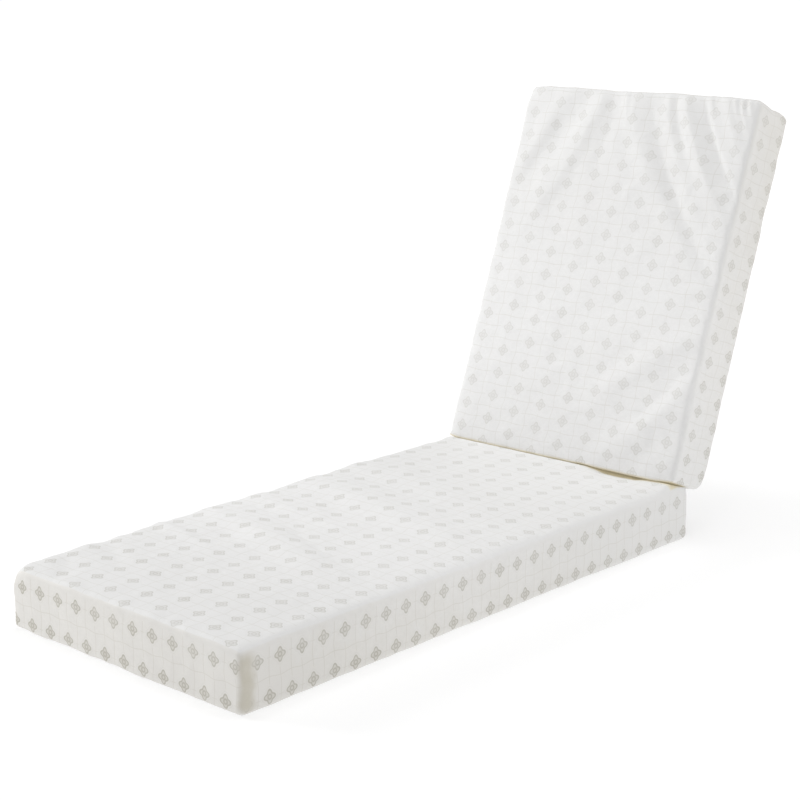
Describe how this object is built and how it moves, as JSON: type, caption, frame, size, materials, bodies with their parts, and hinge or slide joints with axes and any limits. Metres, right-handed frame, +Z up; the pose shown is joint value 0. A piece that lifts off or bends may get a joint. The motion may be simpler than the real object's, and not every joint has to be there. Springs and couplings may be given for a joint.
{
  "type": "sun lounger cushion",
  "caption": "Sun lounger cushion: a long flat seat block with a shorter block of the same section raised from its head end as a backrest.",
  "frame": {"origin": "on the floor, under the middle of the box that holds both blocks", "axes": "+X across the width to the right side as seen from the foot end, +Y along the length from the foot end to the head end, +Z up"},
  "size_m": [0.5716, 1.4632, 0.8113],
  "materials": {
    "wrap": "matt printed non-woven wrap, white with small pale warm-grey motifs and fine lines"
  },
  "bodies": {
    "root": {"seat_block": "wrap", "back_block": "wrap"}
  },
  "joints": []
}
